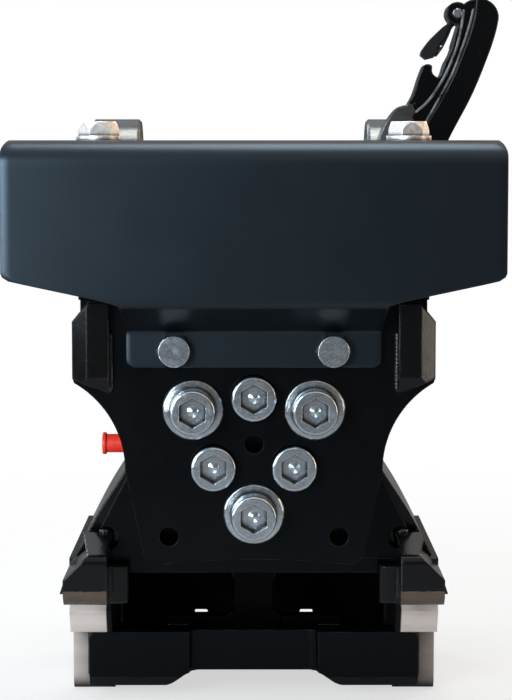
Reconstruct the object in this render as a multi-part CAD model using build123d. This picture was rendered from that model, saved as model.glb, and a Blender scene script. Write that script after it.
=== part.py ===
from build123d import *
import os
from math import asin, cos, degrees, radians, sin, sqrt

os.makedirs("parts", exist_ok=True)

# Driving dimensions in millimetres. X runs across, Y runs back along the tilt axis and Z is up.
# The origin is on the tilt axis, at the front face of the front plate.

# Rotary actuator
plate_thickness = 20.0
flange_thickness = 14.0
flange_radius = 52.0
end_gap = 2.0
housing_length = 134.0
housing_radius = 64.5
piston_bore_radius = 50.0
housing_head = 16.0
journal_radius = 30.0
core_radius = 24.0
spigot_radius = 15.0
housing_chamfer = 1.5
running_clearance = 0.05
axis_tapping_radius = 5.0
sleeve_length = 42.0
sleeve_radius = 43.0
piston_length = 14.0
seal_thickness = 1.7
seal_width = 8.0
seal_slip = 0.3
spanner_hole_radius = 3.0
spanner_hole_depth = 6.0
seal_groove = 4.0

# Front and rear plates of the upper bracket
plate_shoulder_out = 9.0
plate_waist_inset = 28.0
plate_foot_half = 58.0
plate_waist_low = -14.0
plate_waist_round = 54.4
plate_shoulder_low = 33.0
plate_shoulder_corner = 2.5
plate_top_half = 88.0
plate_top_slope = 11.0
plate_top = 77.0
plate_foot = -66.0
plate_foot_rise = 3.5
plate_corner = 9.0
plate_tapping_x = 45.7
plate_tapping_z = -50.0
plate_tapping_radius = 5.1
lug_width = 20.0
lug_skirt_gap = 7.0
lug_proud = 6.0
lug_edge = 0.5
lug_side_round = 8.0
lug_low = 36.0
lug_foot_slope = 9.0
lug_top = 75.5

# Screws that hold the plates to the shaft
collar_circle = 75.0
collar_radius = 16.3
collar_proud = 2.0
collar_chamfer = 0.8
collar_depth = 14.0
collar_seat_clearance = 0.05
screw_circle = 50.0
screw_radius = 8.0
screw_head_radius = 12.0
screw_head_height = 16.0
screw_head_proud = 8.0
screw_head_round = 1.4
screw_socket_width = 14.0
screw_socket_depth = 8.0
screw_hole_clearance = 0.5
screw_grip = 10.0

# Upper deck, ears and bushes
deck_gap = 1.8
ear_inner = 70.0
ear_thickness = 24.0
ear_boss_proud = 2.5
ear_boss_chamfer = 1.5
pin_radius_bore = 15.0
bush_wall = 4.0
front_pin_y = 46.0
front_pin_z = 122.0
front_boss_radius = 27.0
rear_pin_y = 165.0
rear_pin_z = 146.0
rear_boss_radius = 30.0
ear_nose_y = -14.0
ear_nose_rise = 24.0
ear_pad_back = 18.0
ear_foot_front = 8.0
ear_foot_back = 198.0
ear_dip_back = 30.0
ear_dip_rise = 24.0
ear_dip_round = 12.0
ear_hump_front = 26.0
ear_hump_rise = 15.0
brace_thickness = 12.0
brace_height = 26.0

# Guard cover
cover_thickness = 3.0
cover_half = 131.0
cover_top = 162.0
cover_front = -35.0
cover_shoulder = 90.0
cover_belly = 77.0
cover_skirt_top = 62.0
cover_skirt_low = 41.5
cover_skirt_taper = 2.0
cover_top_back = 14.0
cover_bend = 11.0
cover_corner = 4.0
cover_fold = 3.5
cover_bolt_x = 42.4
cover_bolt_z = 50.5
top_bolt_x = 82.0
top_bolt_y = 0.0
top_bolt_grip = 24.0
top_bolt_turn = 8.0
top_bolt_hole_depth = 30.0
front_bolt_end_gap = 2.0

# Lower frame
cross_plate_thickness = 12.0
cross_plate_clearance = 4.0
cross_plate_top = -8.0
cross_plate_margin = 1.5
cross_plate_foot_half = 91.0
cross_plate_foot_taper = 2.0
cross_plate_foot_height = 7.0
cross_plate_flank_out = 3.5
cross_plate_flank_drop = 5.0
cross_plate_hole_x = 80.7
cross_plate_hole_rise = 11.0
cross_plate_hole_radius = 6.5
saddle_web = 1.5
saddle_top = -16.0
lower_deck_thickness = 8.0
frame_inner = 78.0
skirt_drop = 26.0
skirt_half = 109.5
skirt_setback = 1.0
flare_out = 4.5
flare_step = 2.0
flare_middle_half = 84.0
flare_middle_drop = 23.0
flare_half = 98.5
flare_top_lean = 0.6
flare_foot_lean = 0.3
claw_outer = 101.3
claw_front = -20.0
claw_top_rise = 9.0
claw_top_slope = 5.5
claw_drop = 19.0
claw_nose_round = 11.0
claw_chamfer = 13.0
claw_top_round = 5.0
web_inner = 68.0
web_front = 9.0
web_back = 21.5
web_round = 4.0
web_top_drop = 2.0
web_drop = 22.0
cheek_inner = 80.0
cheek_outer = 103.5
cheek_back = 186.0
cheek_round = 8.0
cheek_slope = 6.0
jaw_lead = 5.0
foot_drop = 86.0

# Bucket pins
bucket_pin_radius = 15.0
mouth_clearance = 0.2
mouth_lip_angle = 45.0
front_mouth_y = 38.0
front_mouth_drop = 24.0
rear_mouth_y = 152.0
rear_mouth_drop = 52.0

# Beams
beam_front = 56.0
beam_thickness = 20.0
beam_half = 93.0
beam_top_drop = 48.0
beam_height = 32.0
beam_recess_half = 36.5
beam_recess_depth = 6.0
arch_height = 9.0
arch_half = 34.0
arch_run = 16.0
arch_start_slope = 0.25
arch_end_slope = 0.1
beam_bevel = 6.0
beam_round = 4.0
rear_beam_drop = 75.0
window_x = 32.4
window_drop = 61.4
window_width = 8.0
window_height = 6.0
window_round = 1.0

# Lock
bar_front = 98.0
bar_depth = 12.0
bar_half = 50.0
bar_drop = 47.5
bar_thickness = 5.0
boss_half = 15.4
boss_rise = 3.0
boss_drop = 2.0
boss_proud = 1.5
boss_chamfer = 2.5
rod_seat_depth = 9.0
lock_travel_gap = 6.0
rod_drop = 22.0
rod_radius = 8.0
rod_upstand_half = 11.0
rod_upstand_wall = 3.0
rod_upstand_round = 4.0
lock_barrel_radius = 14.0
lock_bore_radius = 10.5
lock_gland_length = 5.0
lock_piston_length = 10.0
lock_piston_gap = 2.0
barrel_wall = 6.0
wedge_thickness = 12.0
wedge_height = 13.0
wedge_ramp = 9.0
wedge_tip_run = 5.0
wedge_tip_drop = 4.0
wedge_slip = 0.3
wedge_under_pin = 0.6
guide_length = 18.0
guide_wall = 3.0
guide_roof = 9.0
guide_gap = 6.0
wedge_reach = 4.0

# Load hook, in the plane across the tilt axis
hook_y = 105.0
hook_plate_thickness = 22.0
hook_thickness = 17.0
hook_foot = 112.0
hook_foot_width = 9.0
hook_edge_points = [(109.0, 158.0), (123.6, 186.7), (132.4, 207.8), (139.4, 232.0)]
hook_crown = (135.5, 240.6)
hook_back_points = [(126.5, 243.0), (121.2, 218.0), (108.5, 188.5), (94.0, 163.5)]
hook_saddle_low = 148.0
hook_saddle_points = [(70.0, 158.0), (72.1, 165.6), (76.7, 175.0), (80.8, 180.2), (87.9, 183.2)]
hook_belly_points = [(90.6, 188.0), (93.7, 197.2), (96.1, 203.7)]
hook_tip = (98.8, 206.2)
hook_bowl_points = [(101.9, 205.0), (102.2, 201.0), (105.0, 198.8), (108.4, 205.4), (111.9, 212.5),
                    (114.2, 220.7), (116.6, 229.0)]
hook_hump = (117.8, 238.0)
hook_eye = 6.4
latch_thickness = 8.0
latch_slip = 0.4
latch_eye = 5.6
latch_fork_wall = 1.5
latch_pin_radius = 2.5
latch_pin_proud = 1.5
latch_pin_x = 116.0
latch_pin_z = 235.0
latch_outer_points = [(110.9, 229.2), (106.0, 225.3), (100.2, 219.5), (96.7, 214.8), (95.5, 211.3)]
latch_inner_points = [(98.4, 208.9), (103.1, 210.1), (104.9, 214.8), (106.6, 218.3), (109.2, 221.5),
                      (111.5, 226.0), (114.0, 230.5)]
latch_neck = (112.5, 238.0)
spring_wire = 0.7
spring_turns = 2
spring_pitch = 1.5

# Grease nipple
nipple_y = 60.0
nipple_z = -7.0
nipple_hexagon_radius = 5.2
nipple_hexagon_height = 5.0
nipple_neck_radius = 2.2
nipple_neck_length = 4.0
nipple_head_radius = 3.2
nipple_tip_radius = 1.8
nipple_head_length = 3.7
nipple_taper = 0.6
cap_radius = 6.2
cap_body_radius = 5.2
cap_length = 12.5
cap_gap = 3.4
cap_rim = 2.4
cap_round = 0.8

# Hose ends at the rear
port_radius = 5.5
port_length = 14.0
port_wall = 2.0
port_nut_out = 3.0
port_nut_height = 7.0

# Hexagon bolts: thread radius, width across flats, head height
m10 = (5.0, 17.0, 6.4)
m12 = (6.0, 19.0, 7.5)
washer_radius = 12.0
washer_thickness = 2.5
bolt_cone_out = 1.2
bolt_cone_in = 0.4
bolt_cone_below = 0.3
bolt_cone_above = 0.4

# How far a cutting shape reaches past what it cuts, and how near a point has to be to be picked
cut_past = 1.0
near = 0.1

# Widths of the end plates, their lugs and the cover's skirt between the lugs
plate_shoulder_half = plate_top_half + plate_shoulder_out
plate_waist_half = plate_shoulder_half - plate_waist_inset
lug_inner = plate_shoulder_half - lug_width
cover_skirt_half = lug_inner - lug_skirt_gap

# Stations along the tilt axis
flange_front = plate_thickness
housing_front = flange_front + flange_thickness + end_gap
housing_back = housing_front + housing_length
rear_flange_front = housing_back + end_gap
rear_plate_front = rear_flange_front + flange_thickness
rear_plate_back = rear_plate_front + plate_thickness
upper_deck_bottom = housing_radius + deck_gap
saddle_bottom = -(housing_radius + saddle_web)
lower_deck_bottom = saddle_bottom - lower_deck_thickness
cross_plate_top_half = housing_radius + cross_plate_margin
cross_plate_hole_z = saddle_bottom + cross_plate_hole_rise
skirt_bottom = saddle_bottom - skirt_drop
claw_top = saddle_bottom + claw_top_rise
claw_bottom = saddle_bottom - claw_drop
front_mouth_z = saddle_bottom - front_mouth_drop
rear_mouth_z = saddle_bottom - rear_mouth_drop
beam_top = saddle_bottom - beam_top_drop
beam_bottom = beam_top - beam_height
rear_beam_bottom = saddle_bottom - rear_beam_drop
bar_top = saddle_bottom - bar_drop
rod_z = saddle_bottom - rod_drop
ground = saddle_bottom - foot_drop
cross_hole_radius = flange_radius + cross_plate_clearance
nipple_seat = -sqrt(housing_radius ** 2 - nipple_z ** 2)
beam_back = beam_front + beam_thickness
ear_outer = ear_inner + ear_thickness


def along_y(face, front, back):
    """Solid from a face drawn in X and Z, between two stations along Y."""
    plane = Plane((0, back, 0), x_dir=(1, 0, 0), z_dir=(0, -1, 0))
    return extrude(plane * face, back - front)


def along_x(face, low, high):
    """Solid from a face drawn in Y and Z, between two stations along X."""
    plane = Plane((low, 0, 0), x_dir=(0, 1, 0), z_dir=(1, 0, 0))
    return extrude(plane * face, high - low)


def rod_y(radius, front, back, x=0.0, z=0.0):
    return along_y(Pos(x, z) * Circle(radius), front, back)


def ring_y(outer, inner, front, back, x=0.0, z=0.0):
    face = Circle(outer) - Circle(inner)
    return along_y(Pos(x, z) * face, front, back)


def rod_x(radius, low, high, y, z):
    return along_x(Pos(y, z) * Circle(radius), low, high)


def block(x_low, x_high, y_low, y_high, z_low, z_high):
    size = (x_high - x_low, y_high - y_low, z_high - z_low)
    centre = ((x_high + x_low) / 2, (y_high + y_low) / 2, (z_high + z_low) / 2)
    return Pos(*centre) * Box(*size)


def other_side(shape):
    return mirror(shape, about=Plane.YZ)


def both_sides(shape):
    return [shape, other_side(shape)]


def polar(radius, angle):
    return radius * cos(radians(angle)), radius * sin(radians(angle))


def symmetric_outline(right_half):
    """Closed outline from the points of its right half, listed from the bottom to the top."""
    left_half = [(-x, z) for x, z in reversed(right_half)]
    return right_half + left_half


def solids_of(shape):
    pieces = shape if isinstance(shape, list) else [shape]
    return [solid for piece in pieces for solid in piece.solids()]


def save(name, shape):
    export_step(Compound(children=solids_of(shape)), f"parts/{name}.step")


def rear_copy(shape):
    """The same piece at the rear end of the actuator, turned end for end."""
    middle = Plane((0, rear_plate_back / 2, 0), x_dir=(1, 0, 0), z_dir=(0, 1, 0))
    return mirror(shape, about=middle)


def collar_places():
    return [polar(collar_circle / 2, angle) for angle in (30, 150, 270)]


def screw_places():
    return [polar(screw_circle / 2, angle) for angle in (90, 210, 330)]


def end_plate_outline():
    """Foot with a slight rise, straight flanks and hollow curves out to wide shoulders."""
    foot = ThreePointArc((-plate_foot_half, plate_foot), (0, plate_foot + plate_foot_rise),
                         (plate_foot_half, plate_foot))
    centre_x = plate_waist_half + plate_waist_round
    rise = plate_shoulder_low - plate_waist_low
    end_x = centre_x - sqrt(plate_waist_round ** 2 - rise ** 2)
    turn = 180 - degrees(asin(rise / plate_waist_round)) / 2
    middle = (centre_x + plate_waist_round * cos(radians(turn)),
              plate_waist_low + plate_waist_round * sin(radians(turn)))
    flank = Line((plate_foot_half, plate_foot), (plate_waist_half, plate_waist_low))
    hollow = ThreePointArc(flank @ 1, middle, (end_x, plate_shoulder_low))
    side = Polyline(hollow @ 1, (plate_shoulder_half, plate_shoulder_low + plate_shoulder_corner),
                    (plate_shoulder_half, plate_top - plate_top_slope), (plate_top_half, plate_top))
    right = [flank, hollow, side]
    left = [mirror(edge, about=Plane.YZ) for edge in right]
    top = Line((-plate_top_half, plate_top), (plate_top_half, plate_top))
    face = make_face([foot, top] + right + left)
    corners = face.vertices().filter_by_position(Axis.Y, plate_foot - near, plate_foot + near)
    return fillet(corners, plate_corner)


def front_plate():
    plate = along_y(end_plate_outline(), 0, plate_thickness)
    for x, z in collar_places():
        plate -= rod_y(collar_radius + collar_seat_clearance, 0, collar_depth - collar_proud, x, z)
        plate -= rod_y(screw_radius + screw_hole_clearance, 0, plate_thickness, x, z)
    for x, z in screw_places():
        seat = screw_head_height - screw_head_proud
        plate -= rod_y(screw_head_radius + screw_hole_clearance, 0, seat, x, z)
        plate -= rod_y(screw_radius + screw_hole_clearance, 0, plate_thickness, x, z)
    for x in (-plate_tapping_x, plate_tapping_x):
        plate -= rod_y(plate_tapping_radius, 0, plate_thickness, x, plate_tapping_z)
    for x in (-cover_bolt_x, cover_bolt_x):
        plate -= rod_y(m10[0] + running_clearance, 0, plate_thickness, x, cover_bolt_z)
    return plate - rod_y(axis_tapping_radius, 0, plate_thickness)


def socket_screw(front, length, x, z):
    """Socket head screw whose head faces the front; front is where its head begins."""
    head = rod_y(screw_head_radius, front, front + screw_head_height, x, z)
    rim = head.edges().filter_by(GeomType.CIRCLE).sort_by(Axis.Y)[0]
    head = fillet(rim, screw_head_round)
    socket = Pos(x, z) * RegularPolygon(screw_socket_width / sqrt(3), 6, rotation=30)
    head -= along_y(socket, front, front + screw_socket_depth)
    shank_start = front + screw_head_height
    return head + rod_y(screw_radius, shank_start, shank_start + length, x, z)


def collar_screws():
    start = -collar_proud - screw_head_height
    length = collar_proud + plate_thickness + screw_grip
    return [socket_screw(start, length, x, z) for x, z in collar_places()]


def plate_screws():
    start = -screw_head_proud
    length = plate_thickness - screw_head_height + screw_head_proud + screw_grip
    return [socket_screw(start, length, x, z) for x, z in screw_places()]


def collars():
    pieces = []
    for x, z in collar_places():
        back = collar_depth - collar_proud
        piece = ring_y(collar_radius, screw_radius + screw_hole_clearance, -collar_proud, back, x, z)
        rim = piece.edges().filter_by(GeomType.CIRCLE).group_by(Axis.Y)[0].sort_by(SortBy.RADIUS)[-1]
        pieces.append(chamfer(rim, collar_chamfer))
    return pieces


def lugs():
    """Stop lug welded on each shoulder of the plate, rounded at its side and sloping at its foot."""
    side = Polyline(
        (lug_inner, lug_low - lug_foot_slope),
        (lug_inner, lug_top),
        (plate_top_half, lug_top),
        (plate_shoulder_half, plate_top - plate_top_slope),
        (plate_shoulder_half, plate_shoulder_low + plate_shoulder_corner),
        close=True)
    piece = along_y(make_face(side), -lug_proud, 0)
    outer = piece.edges().filter_by(Axis.Z).group_by(Axis.X)[-1].group_by(Axis.Y)[0]
    piece = chamfer(outer, lug_proud - lug_edge, lug_side_round)
    foot = Plane.YZ * make_face(Polyline(
        (-lug_proud - cut_past, lug_low),
        (-lug_proud - cut_past, lug_low - 2 * lug_foot_slope),
        (0, lug_low - 2 * lug_foot_slope),
        (0, lug_low - lug_foot_slope),
        (-lug_proud, lug_low),
        close=True))
    piece -= extrude(foot, 2 * plate_shoulder_half)
    return both_sides(piece)


def tapped_flange(front, back):
    """Flange with the six threads of the plate's screws."""
    flange = rod_y(flange_radius, front, back)
    for x, z in collar_places() + screw_places():
        flange -= rod_y(screw_radius + running_clearance, front, back, x, z)
    return flange


def shaft():
    journal_end = housing_back - housing_head
    body = tapped_flange(flange_front, flange_front + flange_thickness)
    body += rod_y(journal_radius, flange_front + flange_thickness, housing_front + housing_head)
    body += rod_y(core_radius, housing_front + housing_head, journal_end)
    body += rod_y(journal_radius, journal_end, rear_flange_front)
    return body + rod_y(spigot_radius, rear_flange_front, rear_plate_front)


def rear_flange():
    """Disc on the shaft's rear spigot, drilled like the front flange but turned end for end."""
    flange = tapped_flange(rear_flange_front, rear_plate_front)
    return flange - rod_y(spigot_radius + running_clearance, rear_flange_front, rear_plate_front)


def upper_deck():
    return block(-ear_outer, ear_outer, plate_thickness, rear_plate_front, upper_deck_bottom, plate_top)


def ear_outline():
    """Side view of an ear: a nose under the cover, a low middle and a round rear boss."""
    pad = cover_top - cover_thickness
    hump_start = (rear_pin_y - ear_hump_front, rear_pin_z + ear_hump_rise)
    dip = front_pin_y + ear_dip_back
    points = [
        (ear_foot_front, plate_top),
        (ear_nose_y, plate_top + ear_nose_rise),
        (ear_nose_y, pad),
        (ear_pad_back, pad),
        (dip, front_pin_z + ear_dip_rise),
        hump_start,
        (rear_pin_y, rear_pin_z),
        (rear_pin_y + rear_boss_radius, rear_pin_z),
        (ear_foot_back, plate_top),
    ]
    body = make_face(Polyline(*points, close=True))
    soft = body.vertices().filter_by_position(Axis.X, ear_pad_back - near, dip + near)
    body = fillet(soft, ear_dip_round)
    body += Pos(rear_pin_y, rear_pin_z) * Circle(rear_boss_radius)
    return body


def ear():
    bore = pin_radius_bore + bush_wall
    piece = along_x(ear_outline(), ear_inner, ear_outer)
    bosses = ((front_pin_y, front_pin_z, front_boss_radius), (rear_pin_y, rear_pin_z, rear_boss_radius))
    for y, z, radius in bosses:
        boss = rod_x(radius, ear_inner - ear_boss_proud, ear_outer + ear_boss_proud, y, z)
        rims = boss.edges().filter_by(GeomType.CIRCLE)
        piece += chamfer(rims, ear_boss_chamfer)
    for y, z, radius in bosses:
        piece -= rod_x(bore, ear_inner - ear_boss_proud, ear_outer + ear_boss_proud, y, z)
    pad = cover_top - cover_thickness
    hole = Cylinder(m12[0] + running_clearance, top_bolt_hole_depth)
    piece -= Pos(top_bolt_x, top_bolt_y, pad - top_bolt_hole_depth / 2) * hole
    return piece


def ear_bushes():
    pieces = []
    for y, z in ((front_pin_y, front_pin_z), (rear_pin_y, rear_pin_z)):
        face = Pos(y, z) * (Circle(pin_radius_bore + bush_wall) - Circle(pin_radius_bore))
        bush = along_x(face, ear_inner - ear_boss_proud, ear_outer + ear_boss_proud)
        pieces += both_sides(bush)
    return pieces


def ear_braces():
    """Plates between the ears, at the foot of the front and rear edges."""
    top = plate_top + brace_height
    front = block(-ear_inner, ear_inner, ear_foot_front, ear_foot_front + brace_thickness, plate_top, top)
    rear = block(-ear_inner, ear_inner, ear_foot_back - brace_thickness, ear_foot_back, plate_top, top)
    return [front, rear]


def cover():
    """Guard bent from one sheet: top flange, wide front, sloping band and skirt on the plate."""
    half_sheet = cover_thickness / 2
    centre_front = cover_front + half_sheet
    line = FilletPolyline(
        (cover_top_back, cover_top - half_sheet),
        (centre_front, cover_top - half_sheet),
        (centre_front, cover_belly),
        (-half_sheet, cover_skirt_top),
        (-half_sheet, cover_skirt_low),
        radius=[cover_bend, cover_fold, cover_fold],
    )
    sheet = along_x(trace(line, cover_thickness), -cover_half, cover_half)
    outline = symmetric_outline([
        (cover_skirt_half - cover_skirt_taper, cover_skirt_low),
        (cover_skirt_half - cover_skirt_taper, cover_skirt_top),
        (cover_skirt_half, cover_belly),
        (cover_half, cover_shoulder),
        (cover_half, cover_top + cut_past),
    ])
    face = make_face(Polyline(*outline, close=True))
    face = fillet(face.vertices().group_by(Axis.Y)[0], cover_corner)
    sheet = sheet & along_y(face, cover_front - cut_past, cover_top_back + cut_past)
    for x in (-cover_bolt_x, cover_bolt_x):
        hole = m10[0] + screw_hole_clearance
        sheet -= rod_y(hole, -cover_thickness - cut_past, cut_past, x, cover_bolt_z)
    for x in (-top_bolt_x, top_bolt_x):
        hole = Cylinder(m12[0] + screw_hole_clearance, 4 * cover_thickness)
        sheet -= Pos(x, top_bolt_y, cover_top) * hole
    return sheet


def hexagon_bolt(thread, length):
    """Hexagon bolt standing on Z = 0, with its shank below."""
    radius, flats, height = thread
    head = extrude(RegularPolygon(flats / sqrt(3), 6), height)
    cone = Cone(flats / sqrt(3) + bolt_cone_out, flats / 2 - bolt_cone_in,
                bolt_cone_below + height + bolt_cone_above, align=(Align.CENTER, Align.CENTER, Align.MIN))
    head = head & Pos(0, 0, -bolt_cone_below) * cone
    return head + Cylinder(radius, length, align=(Align.CENTER, Align.CENTER, Align.MAX))


def cover_top_bolts():
    bolt = hexagon_bolt(m12, washer_thickness + cover_thickness + top_bolt_grip)
    seat = cover_top + washer_thickness
    turned = Rot(0, 0, top_bolt_turn) * bolt
    return [Pos(x, top_bolt_y, seat) * turned for x in (-top_bolt_x, top_bolt_x)]


def cover_top_washers():
    washer = Cylinder(washer_radius, washer_thickness, align=(Align.CENTER, Align.CENTER, Align.MIN))
    washer -= Cylinder(m12[0] + screw_hole_clearance, 4 * washer_thickness)
    return [Pos(x, top_bolt_y, cover_top) * washer for x in (-top_bolt_x, top_bolt_x)]


def cover_front_bolts():
    bolt = Rot(90, 0, 0) * hexagon_bolt(m10, cover_thickness + plate_thickness - front_bolt_end_gap)
    return [Pos(x, -cover_thickness, cover_bolt_z) * bolt for x in (-cover_bolt_x, cover_bolt_x)]


def housing():
    """Actuator tube with a closed front head round the shaft's journal."""
    tube = rod_y(housing_radius, housing_front, housing_back)
    tube -= rod_y(piston_bore_radius, housing_front + housing_head, housing_back)
    tube -= rod_y(journal_radius + running_clearance, housing_front, housing_back)
    rims = tube.edges().filter_by(GeomType.CIRCLE).filter_by(lambda edge: edge.radius > piston_bore_radius)
    return chamfer(rims, housing_chamfer)


def housing_cap():
    """Ring in the rear end of the housing, round the rear journal."""
    inner = journal_radius + running_clearance
    cap = ring_y(piston_bore_radius, inner, housing_back - housing_head, housing_back)
    for angle in range(0, 360, 90):
        x, z = polar((piston_bore_radius + journal_radius) / 2, angle + 45)
        cap -= rod_y(spanner_hole_radius, housing_back - spanner_hole_depth, housing_back, x, z)
    return cap


def shaft_seals():
    inner = journal_radius + seal_slip
    outer = inner + seal_width
    front = ring_y(outer, inner, housing_front - seal_thickness, housing_front)
    rear = ring_y(outer, inner, housing_back, housing_back + seal_thickness)
    return [front, rear]


def piston_sleeve():
    """Sleeve with its piston in the middle, and a groove for the piston's seal."""
    middle = (housing_front + housing_back) / 2
    inner = core_radius + running_clearance
    sleeve = ring_y(sleeve_radius, inner, middle - sleeve_length / 2, middle + sleeve_length / 2)
    piston = ring_y(piston_bore_radius - running_clearance, inner, middle - piston_length / 2,
                    middle + piston_length / 2)
    groove_inner = piston_bore_radius - seal_groove
    groove = ring_y(piston_bore_radius, groove_inner, middle - seal_groove / 2, middle + seal_groove / 2)
    return sleeve + piston - groove


def piston_seal():
    middle = (housing_front + housing_back) / 2
    outer = piston_bore_radius - running_clearance
    inner = piston_bore_radius - seal_groove
    return ring_y(outer, inner, middle - seal_groove / 2, middle + seal_groove / 2)


def flare():
    """Right flank of the lower frame: hollow at the housing, spreading to the side skirts."""
    return Spline(
        (cross_plate_top_half + flare_out, saddle_top - flare_step),
        (flare_middle_half, saddle_top - flare_middle_drop),
        (flare_half, saddle_bottom),
        (skirt_half, skirt_bottom),
        tangents=[(flare_top_lean, -1.0), (flare_foot_lean, -1.0)],
    )


def flank_face(inner, low):
    """Area between an upright inner edge and the flared flank, down to a level."""
    curve = flare()
    top = curve @ 0
    foot = curve @ 1
    face = make_face([
        curve,
        Line(top, (inner, saddle_top)),
        Line((inner, saddle_top), (inner, skirt_bottom)),
        Line((inner, skirt_bottom), foot),
    ])
    keep = Pos(0, (low + saddle_top) / 2) * Rectangle(4 * skirt_half, saddle_top - low)
    return face & keep


def base_casting():
    """Saddle that carries the housing, with flared flanks."""
    right = flank_face(0.0, saddle_bottom)
    piece = along_y(right, housing_front, housing_back)
    piece = piece + other_side(piece)
    return piece - rod_y(housing_radius, housing_front, housing_back)


def cross_plate_face():
    """Outline with sloping flanks, a wide round opening for the shaft's flange and two round holes."""
    outline = symmetric_outline([
        (cross_plate_foot_half, saddle_bottom),
        (cross_plate_foot_half - cross_plate_foot_taper, saddle_bottom + cross_plate_foot_height),
        (cross_plate_top_half + cross_plate_flank_out, saddle_top - cross_plate_flank_drop),
        (cross_plate_top_half, cross_plate_top),
    ])
    face = make_face(Polyline(*outline, close=True))
    face -= Circle(cross_hole_radius)
    for x in (-cross_plate_hole_x, cross_plate_hole_x):
        face -= Pos(x, cross_plate_hole_z) * Circle(cross_plate_hole_radius)
    return face


def front_cross_plate():
    return along_y(cross_plate_face(), housing_front - cross_plate_thickness, housing_front)


def rear_cross_plate():
    return along_y(cross_plate_face(), housing_back, housing_back + cross_plate_thickness)


def lower_deck():
    front = housing_front - cross_plate_thickness
    back = housing_back + cross_plate_thickness
    return block(-frame_inner, frame_inner, front, back, lower_deck_bottom, saddle_bottom)


def mouth_radius():
    return bucket_pin_radius + mouth_clearance


def claw():
    """Right claw: a rounded nose over the front mouth, and the side skirt behind it."""
    radius = mouth_radius()
    plate_front = housing_front - cross_plate_thickness
    drop = sqrt(radius ** 2 - (claw_bottom - front_mouth_z) ** 2)
    wall = sqrt(radius ** 2 - (skirt_bottom - front_mouth_z) ** 2)
    outline = make_face([
        Polyline(
            (front_mouth_y + wall, skirt_bottom),
            (housing_back, skirt_bottom),
            (housing_back, saddle_bottom),
            (plate_front, saddle_bottom),
            (plate_front, claw_top + claw_top_slope),
            (claw_front, claw_top),
            (claw_front, claw_bottom),
            (front_mouth_y - drop, claw_bottom),
        ),
        ThreePointArc((front_mouth_y - drop, claw_bottom), (front_mouth_y, front_mouth_z + radius),
                      (front_mouth_y + wall, skirt_bottom)),
    ])
    nose_low = outline.vertices().sort_by_distance((claw_front, claw_bottom, 0))[0]
    outline = fillet(nose_low, claw_nose_round)
    nose_high = outline.vertices().sort_by_distance((claw_front, claw_top, 0))[0]
    outline = fillet(nose_high, claw_top_round)
    piece = along_x(outline, frame_inner, claw_outer)
    shoulder = Pos(claw_outer, 0, claw_top) * Rot(0, 45, 0) * Box(
        claw_chamfer * sqrt(2), 4 * skirt_half, claw_chamfer * sqrt(2))
    piece -= shoulder & block(0, 2 * skirt_half, claw_front - cut_past, plate_front, claw_bottom, 0)
    skirt = flank_face(frame_inner, skirt_bottom) & (
        Pos(0, (skirt_bottom + saddle_bottom) / 2) * Rectangle(4 * skirt_half, saddle_bottom - skirt_bottom))
    skirt_front = front_mouth_y + radius + skirt_setback
    piece += along_y(skirt, skirt_front, housing_back)
    web = block(web_inner, frame_inner, web_front, web_back, saddle_bottom - web_drop,
                saddle_bottom - web_top_drop)
    inner_edges = web.edges().filter_by(Axis.Z).group_by(Axis.X)[0]
    return piece + fillet(inner_edges, web_round)


def cheek():
    """Right side plate: lower half of the front mouth, and the rear jaw open to below."""
    radius = mouth_radius()
    wall = sqrt(radius ** 2 - (skirt_bottom - front_mouth_z) ** 2)
    low_y = front_mouth_y + radius * cos(radians(mouth_lip_angle))
    low_z = front_mouth_z - radius * sin(radians(mouth_lip_angle))
    middle = (radius * cos(radians(mouth_lip_angle / 2)), radius * sin(radians(mouth_lip_angle / 2)))
    body = make_face([
        Polyline(
            (low_y, low_z),
            (beam_front, beam_top),
            (beam_back, beam_top),
            (beam_back, ground),
            (cheek_back, ground),
            (cheek_back, rear_mouth_z),
            (cheek_back - cheek_slope, skirt_bottom),
            (front_mouth_y + wall, skirt_bottom),
        ),
        ThreePointArc((low_y, low_z), (front_mouth_y + middle[0], front_mouth_z - middle[1]),
                      (front_mouth_y + wall, skirt_bottom)),
    ])
    feet = body.vertices().filter_by_position(Axis.Y, ground - near, ground + near)
    body = fillet(feet, cheek_round)
    jaw = make_face(Polyline(
        (rear_mouth_y - radius, rear_mouth_z),
        (rear_mouth_y - radius, ground + jaw_lead),
        (rear_mouth_y - radius - jaw_lead, ground),
        (rear_mouth_y + radius + jaw_lead, ground),
        (rear_mouth_y + radius, ground + jaw_lead),
        (rear_mouth_y + radius, rear_mouth_z),
        close=True))
    body -= jaw + Pos(rear_mouth_y, rear_mouth_z) * Circle(radius)
    return along_x(body, cheek_inner, cheek_outer)


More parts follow.
